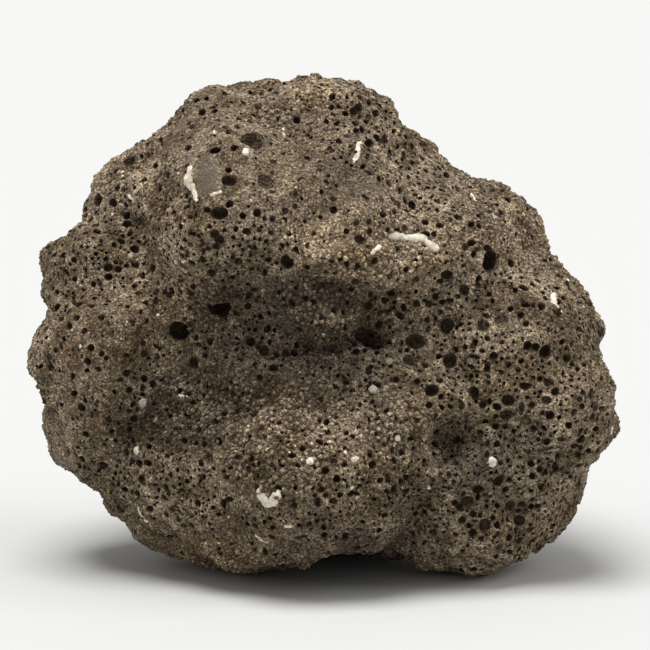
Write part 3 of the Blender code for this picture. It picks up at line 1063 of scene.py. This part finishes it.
    def _cut_by_size(self, pits: Sequence[Pit], limit: float, faces_step: int) -> None:
        """Cut gas holes, with coarser cutters for the small ones.

        Args:
            pits: The gas holes.
            limit: The reach below which a hole is small.
            faces_step: How fine the larger holes' cutters are.
        """
        self._cut([pit for pit in pits if pit.reach >= limit], faces_step)
        self._cut([pit for pit in pits if pit.reach < limit], faces_step - 1)

    def _pierce_face(self) -> None:
        """Cut the holes of the face where they are seen."""
        now = search_tree(self.stone.data)
        small = [Oval(across, down, size, size, SMALL_HOLE_DEPTH) for across, down, size in SMALL_HOLES]
        placed = [[self._seen_pit(hole, now) for hole in holes] for holes in (LARGE_HOLES, small)]
        for pits, faces_step in zip(placed, (3, 2)):
            self._cut([pit for pit in pits if pit], faces_step)

    def _seen_pit(self, hole: Oval, surface: BVHTree) -> Pit | None:
        """Place a hole of the face on its line of sight, level with the skin round it.

        Args:
            hole: The hole as it is seen.
            surface: The skin that it is cut into.

        Returns:
            The placed hole, or nothing where the line of sight misses the stone.
        """
        eye = self.sight.eye()
        line = self.sight.line(hole.across, hole.down)
        met, _, _, away = self.guide.ray_cast(eye, line)
        if met is None:
            return None
        normal = self.guide.find_nearest(met)[1]
        rises = []
        for aside, below in ((-1.3, 0.0), (1.3, 0.0), (0.0, -1.3), (0.0, 1.3)):
            way = self.sight.line(hole.across + aside * hole.wide, hole.down + below * hole.high)
            seen = surface.ray_cast(eye, way)[0]
            if seen is not None:
                rises.append((seen - self.guide.find_nearest(seen)[0]).dot(normal))
        met = met + normal * ((sum(rises) / len(rises) + max(rises)) / 2.0 if rises else 0.0)
        normal = (normal - line * TURN_TO_EYE).normalized()
        scale = self.sight.step() * away / self.sight.distance
        deep = (hole.wide + hole.high) / 2.0 * scale * hole.depth * 1.2
        wide, high = hole.wide * scale * 1.14, hole.high * scale * 1.14
        first, second = self.sight.spans(line, normal, wide, high, hole.turn)
        if first.cross(second).dot(normal) < 0.0:
            first = -first
        axes = np.array(Matrix((first, second, normal * deep)).transposed())
        # Painted shade down in the hole, stronger for deeper holes.
        pit_shade = min(1.0, 0.5 * hole.depth + 0.18)
        return Pit(met - normal * deep * 0.12, axes, float(np.linalg.norm(axes, 2)) * 1.05, pit_shade)

    def _pierce_hidden_sides(self) -> None:
        """Cut the larger holes of the sides, back and top."""
        pits = []
        lean = Matrix.Rotation(-LEAN_BACK, 3, "X")
        for index in range(HIDDEN_HOLES):
            outward = golden_way(index * GOLDEN_TURN, 1.0 - 2.0 * (index + 0.5) / HIDDEN_HOLES)
            if outward.y >= -0.35 and outward.z >= -0.55:
                met, normal, _, _ = self.guide.ray_cast(Vector(HEART), lean @ outward)
                size = HIDDEN_HOLE_SIZES[index % len(HIDDEN_HOLE_SIZES)] * 1.12
                pits.append(ball_pit(met, normal, size, index * 1.3))
        draw = np.random.default_rng(self.seed + 30)
        places, normals = sample_surface(self.stone.data, 9000, self.seed + 31)
        least, spread = self.hidden_sizes
        sizes = least + spread * draw.random(len(places)) ** 5.0
        wanted = self._unseen(places, normals) & (places[:, 2] > 1.5 * MM)
        wanted &= clear_of([(pit.middle, pit.reach * 1.4) for pit in pits], places)
        kept = spread_out(places, sizes * 1.45, wanted)[: self.hidden_holes]
        more = self._round_pits(places[kept], normals[kept], sizes[kept], draw)
        self._cut_by_size(pits + more, 0.9 * MM, 3)

    @staticmethod
    def _round_pits(places: Rows, normals: Rows, sizes: Rows, draw: np.random.Generator) -> list[Pit]:
        """Make a roughly round gas hole at each place, turned at random."""
        return [
            ball_pit(Vector(place), Vector(normal), float(size), draw.uniform(0.0, math.tau))
            for place, normal, size in zip(places, normals, sizes)
        ]

    def _unseen(self, places: Rows, normals: Rows) -> Rows:
        """Say which places lie where the face's own list of holes doesn't reach."""
        return (normals @ np.array(self.sight.back()) < 0.25) | (places[:, 1] > 6.0 * MM)

    def _pierce_cells(self) -> None:
        """Cut many small holes, close together with thin walls where the skin is cellular."""
        places, normals = sample_surface(self.stone.data, 90000, self.seed + 50)
        cellular = self.share_of(Texture.CELLULAR, places)
        draw = np.random.default_rng(self.seed + 60)
        least, spread = self.cell_sizes
        sizes = least + spread * draw.random(len(places)) ** 2.8 + 0.09 * MM * cellular
        likely = (0.26 - 0.16 * self.share_of(Texture.FINE, places)) + 0.74 * cellular**2.0
        wanted = draw.random(len(places)) < likely
        wanted &= self._unseen(places, normals) <= (draw.random(len(places)) < 0.42)
        wanted &= (places[:, 2] > 0.9 * MM) & (self.glassy(places) < 0.1) & clear_of(self.fillings, places)
        wanted &= ~beside_pits(self.pits, places, *self.cell_room)
        kept = spread_out(places, sizes * 1.1, wanted)[: self.cell_holes]
        pits = self._round_pits(places[kept], normals[kept], sizes[kept], draw)
        self._cut_by_size(pits, 0.42 * MM, 2)

    def _thin_out(self, wanted: int) -> None:
        """Bring the skin down to the faces that it may have."""
        self.stone.data.calc_loop_triangles()
        faces = len(self.stone.data.loop_triangles)
        fewer = self.stone.modifiers.new("Fewer faces", "DECIMATE")
        fewer.ratio = min(1.0, wanted / faces)
        fewer.use_collapse_triangulate = True
        apply_modifiers(self.stone)
        LOG.info("skin thinned: %d to %d faces", faces, len(self.stone.data.polygons))

    def _mark_hollows(self) -> None:
        """Keep painted shade in holes, recesses and gaps, which points lie on rims and in the glassy patch,
        for the finish.
        """
        mesh = self.stone.data
        places = read(mesh)
        in_pits, rim = shade_in_pits(self.pits, places)
        glassy = self.glassy(places)
        # Painted shade in the gaps between grains, less where the skin is cellular or glassy.
        grain_gap_shade = 0.38 + 0.20 * self.share_of(Texture.BEADED, places)
        grain_gap_shade *= (1.0 - 0.7 * self.share_of(Texture.CELLULAR, places)) * (1.0 - glassy)
        # The painted shade of holes, of recesses below the smooth form and of the gaps between grains.
        keep(mesh, "painted_shade", np.maximum.reduce((in_pits, self.recess_shade(places), grain_gap_shade)))
        keep(mesh, "rim", rim)
        # Painted light and shade of the face.
        keep(mesh, "light_and_shade", self.light_and_shade(places))
        keep(mesh, "glassy", glassy)
        mesh.shade_smooth()
        mesh.set_sharp_from_angle(angle=self.crease)


@dataclass
class Grains:
    """Rounded grains that stand out of the skin, in joined meshes."""

    skin: Skin
    batches: int = 4
    per_batch: int = 9300
    tries: int = 240000
    # Least radius and its spread for fine grains and for beads, and how far they keep off the holes.
    fine_sizes: tuple[float, float] = (0.18 * MM, 0.14 * MM)
    bead_sizes: tuple[float, float] = (0.35 * MM, 0.17 * MM)
    pit_room: tuple[float, float] = (0.12 * MM, 0.24 * MM)
    round_from: float = 0.29 * MM
    speck_to: float = 0.32 * MM
    # Pale and white specks among the small grains: their share and tone.
    specks: tuple[tuple[float, float], ...] = ((0.012, 1.45), (0.004, 2.0))
    seed: int = 101

    def build(self) -> list[Object]:
        """Seat the grains on the skin.

        Returns:
            The joined meshes' objects.
        """
        places, normals = sample_surface(self.skin.stone.data, self.tries, self.seed)
        beaded = self.skin.share_of(Texture.BEADED, places)
        draw = np.random.default_rng(self.seed + 1)
        beads = np.clip(beaded * 1.6 - 0.3, 0.0, 1.0)
        sizes = (self.fine_sizes[0] + self.fine_sizes[1] * draw.random(len(places))) * (1.0 - beads)
        sizes += (self.bead_sizes[0] + self.bead_sizes[1] * draw.random(len(places)) ** 1.5) * beads
        wanted = ~beside_pits(self.skin.pits, places, *self.pit_room)
        wanted &= (self.skin.glassy(places) < 0.05) & (places[:, 2] > 0.7 * MM)
        wanted &= clear_of(self.skin.fillings, places)
        walls = self.skin.share_of(Texture.CELLULAR, places) * (1.0 - beads)
        wanted &= draw.random(len(places)) > 0.85 * walls**2.0
        kept = spread_out(places, sizes * (0.92 - 0.13 * beads), wanted, np.argsort(-sizes))
        LOG.info("%d grains fit", len(kept))
        kept = kept[: self.batches * self.per_batch]
        sizes, beads = sizes[kept], beads[kept]
        axes = upright(normals[kept], draw.uniform(0.0, math.tau, len(kept)))
        round_share = 0.75 * beaded[kept][:, None]
        uneven = draw.uniform(0.62, 1.3, (len(kept), 3)) * (1.0 - round_share)
        radii = sizes[:, None] * (uneven + draw.uniform(0.85, 1.12, (len(kept), 3)) * round_share)
        radii[:, 2] *= 0.85
        sunk = sizes[:, None] * (0.34 - 0.24 * round_share)
        seats = places[kept] - normals[kept] * sunk
        frames = np.concatenate((axes * radii[:, None, :], seats[:, :, None]), axis=2)
        tones = np.clip(draw.normal(0.0, 0.30, len(kept)) - 0.45 * beads, -1.0, 1.0)
        for share, tone in self.specks:
            tones[(sizes < self.speck_to) & (draw.random(len(kept)) < share)] = tone
        frames, tones = self._with_chips(frames, tones)
        step = self.batches
        return [self._batch(number, frames[number::step], tones[number::step]) for number in range(step)]

    def _with_chips(self, frames: Rows, tones: Rows) -> tuple[Rows, Rows]:
        """Add the pale chips of the face to the grains.

        Args:
            frames: The grains' placing matrices.
            tones: The grains' tones.

        Returns:
            Both, with the chips first.
        """
        sight = self.skin.sight
        surface = search_tree(self.skin.stone.data)
        chips, pale = [], []
        for across, down, half, tone in FACE_CHIPS:
            met = surface.ray_cast(sight.eye(), sight.line(across, down))[0]
            size = half * sight.step()
            axes = upright_at(self.skin.guide.find_nearest(met)[1], across)
            chips.append(placing(axes * np.array([size * 1.1, size, size * 0.7]), met))
            pale.append(tone)
        return np.concatenate((np.array(chips), frames)), np.concatenate((pale, tones))

    def _batch(self, number: int, frames: Rows, tones: Rows) -> Object:
        """Join one batch of grains, each turned at random, with painted shade where it meets the skin.

        Args:
            number: The batch's number.
            frames: The grains' placing matrices.
            tones: How pale or dark each grain is.

        Returns:
            The joined mesh's object.
        """
        grain = ball(1)
        draw = np.random.default_rng(self.seed + 10 + number)
        ways = draw.normal(size=(len(frames), 3))
        ways /= np.linalg.norm(ways, axis=1, keepdims=True)
        spins = upright(ways, draw.uniform(0.0, math.tau, len(frames)))
        turned = np.concatenate((frames[:, :, :3] @ spins, frames[:, :, 3:]), axis=2)
        batch = joined_copies(f"grains_{number + 1}", grain, turned, 0.16, self.seed + 20 + number)
        mesh = batch.data
        heights = np.einsum("cj,pj->cp", spins[:, 2, :], read(grain))
        recess_shade = self.skin.recess_shade(frames[:, :, 3])
        keep(mesh, "tone", np.repeat(tones, len(grain.vertices)))
        # Painted light and shade of the face, on the grains too.
        keep(mesh, "light_and_shade", self.skin.light_and_shade(read(mesh)))
        # Painted shade on each grain's lower side, where it meets the skin, and below the smooth form.
        keep(mesh, "painted_shade", np.maximum(np.clip(0.14 - heights, 0.0, 0.8), recess_shade[:, None]).ravel())
        rounded = np.linalg.norm(frames[:, :, 0], axis=1) > self.round_from
        mesh.polygons.foreach_set("use_smooth", np.repeat(rounded, len(grain.polygons)))
        return batch


@dataclass
class Fillings:
    """White mineral that fills or lines old gas holes, flush with the skin."""

    skin: Skin
    voxel: float = 0.13 * MM
    softening: int = 4
    hidden: int = 34
    stride: float = 0.35
    lone_from: float = 0.5 * MM
    seed: int = 211
    spots: list[tuple[Vector, Vector, float, Rows | None]] = field(init=False, default_factory=list)

    def plan(self) -> None:
        """Find the fillings' places on the smooth form, and keep grains and holes clear of them."""
        sight = self.skin.sight
        draw = np.random.default_rng(self.seed)
        for filling in FACE_FILLINGS:
            for across, down in self._steps(filling):
                line = sight.line(across, down)
                met, normal, _, _ = self.skin.guide.ray_cast(sight.eye(), line)
                if met is not None:
                    met = self.skin.dented(met, normal, line)
                    half = filling.half_width * sight.step() * draw.uniform(0.92, 1.06)
                    axes = np.array(Matrix((*sight.spans(line, normal, 1.0, 1.0), normal)).transposed())
                    self.spots.append((met, normal, half, axes))
        self._plan_hidden(draw)
        self.skin.fillings = [(place, half * 1.15) for place, _, half, _ in self.spots]

    def _steps(self, filling: Filling) -> list[tuple[float, ...]]:
        """Walk along a filling's path, in strides of a share of its half width.

        Args:
            filling: The filling.

        Returns:
            The points of the view stepped on.
        """
        path = [Vector((across, down, 0.0)) for across, down in filling.points]
        stepped = [tuple(path[0])[:2]]
        for start, end in zip(path, path[1:]):
            count = max(1, round((end - start).length / (filling.half_width * self.stride)))
            stepped += [tuple(start.lerp(end, (number + 1) / count))[:2] for number in range(count)]
        return stepped

    def _plan_hidden(self, draw: np.random.Generator) -> None:
        """Spread small fillings over the sides, back and top."""
        for number in range(self.hidden):
            outward = golden_way(number * GOLDEN_TURN + 0.6, 0.95 - 1.3 * (number + 0.5) / self.hidden)
            if outward.y < -0.45:
                continue
            place, normal, _, _ = self.skin.guide.ray_cast(Vector(HEART), outward)
            half = draw.uniform(0.22, 0.62) * MM
            heading = normal.orthogonal()
            heading.rotate(Matrix.Rotation(draw.uniform(0.0, math.tau), 3, normal))
            for _ in range(int(draw.integers(1, 8)) if half > 0.35 * MM else 1):
                self.spots.append((place, normal, half * draw.uniform(0.8, 1.1), None))
                heading.rotate(Matrix.Rotation(draw.uniform(-0.35, 0.35), 3, normal))
                place, normal, _, _ = self.skin.guide.find_nearest(place + heading * half * 0.6)

    def build(self) -> Object:
        """Set the fillings into the skin.

        Returns:
            The fillings' object.
        """
        surface = search_tree(self.skin.stone.data)
        draw = np.random.default_rng(self.seed + 1)
        frames = []
        for place, normal, half, seen in self.spots:
            lone = seen is not None and half > self.lone_from
            met = surface.ray_cast(place + normal * 1.5 * MM, -normal, 3.0 * MM)[0]
            spin = draw.uniform(0.0, math.tau)
            axes = upright_at(normal, spin) if seen is None else seen
            thick = half * 0.75 if lone else min(half * 0.5, 0.24 * MM)
            sizes = np.array([half * draw.uniform(0.9, 1.15), half * draw.uniform(0.85, 1.1), thick])
            out = (0.20 if lone else 0.07) * MM
            frames.append(placing(axes * sizes, (place if met is None else met) - normal * (thick - out)))
        made = joined_copies("mineral_fillings", ball(3), np.array(frames), 0.05, self.seed + 2)
        melt(made, self.voxel, self.softening)
        rough = [
            noise.noise(Vector(place) / (0.5 * MM)) + 0.6 * noise.noise(Vector(place) / (0.22 * MM))
            for place in read(made.data)
        ]
        push_out(made.data, np.array(rough) * 0.09 * MM)
        made.data.shade_smooth()
        return made


@dataclass
class Studio:
    """The pale floor and the soft light round the stone."""

    sight: Sight
    floor_size: float = 3.0
    glow: float = 0.5
    lamp_width: float = math.radians(35.0)

    def build(self) -> None:
        """Lay the floor, set the lights and place the camera."""
        shape = bmesh.new()
        bmesh.ops.create_grid(shape, x_segments=1, y_segments=1, size=self.floor_size)
        floor = new_object("studio_floor", as_mesh("studio_floor", shape))
        floor.data.materials.append(PaperFinish().material())
        world = bpy.data.worlds.new("studio")
        world.use_nodes = True
        sky = world.node_tree.nodes["Background"]
        sky.inputs["Color"].default_value = (1.0, 1.0, 1.0, 1.0)
        sky.inputs["Strength"].default_value = self.glow
        bpy.context.scene.world = world
        self._lamp("key", -30.0, 75.0, 3.3)
        self._lamp("side", 80.0, 35.0, 0.8)
        bpy.context.scene.view_settings.view_transform = "Standard"
        self.sight.camera()

    def _lamp(self, name: str, around: float, up: float, power: float) -> None:
        """Add a broad soft lamp, far off, so that the paper is lit evenly.

        Args:
            name: The lamp's name.
            around: Its direction from the camera's side, in degrees to the right.
            up: Its height above the floor, in degrees.
            power: Its power, in watts a square metre.
        """
        lamp = bpy.data.lights.new(name, "SUN")
        lamp.energy = power
        lamp.angle = self.lamp_width
        turn, rise = math.radians(around), math.radians(up)
        way = Vector((math.sin(turn) * math.cos(rise), -math.cos(turn) * math.cos(rise), math.sin(rise)))
        hung = new_object(name, lamp)
        hung.location = way
        hung.rotation_euler = (-way).to_track_quat("-Z", "Y").to_euler()


def main() -> None:
    """Build the stone and its studio, and say what each piece came to."""
    logging.basicConfig(level=logging.INFO, format="%(name)s: %(message)s")
    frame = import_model()
    LOG.info("loaded: %s", ", ".join(frame["nodes"]))
    sight = Sight()
    skin = Skin(sight)
    fillings = Fillings(skin)
    skin.start()
    fillings.plan()
    stone = skin.build()
    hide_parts(SOLID)
    pumice, chalk = PumiceFinish().material(), FillingFinish().material()
    pieces = [(piece, pumice) for piece in (stone, *Grains(skin).build())] + [(fillings.build(), chalk)]
    for piece, finish in pieces:
        piece.data.materials.clear()
        piece.data.materials.append(finish)
        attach(piece, BODY)
        piece.data.calc_loop_triangles()
        LOG.info("%s: %d triangles", piece.name, len(piece.data.loop_triangles))
    Studio(sight).build()


if __name__ == "__main__":
    main()
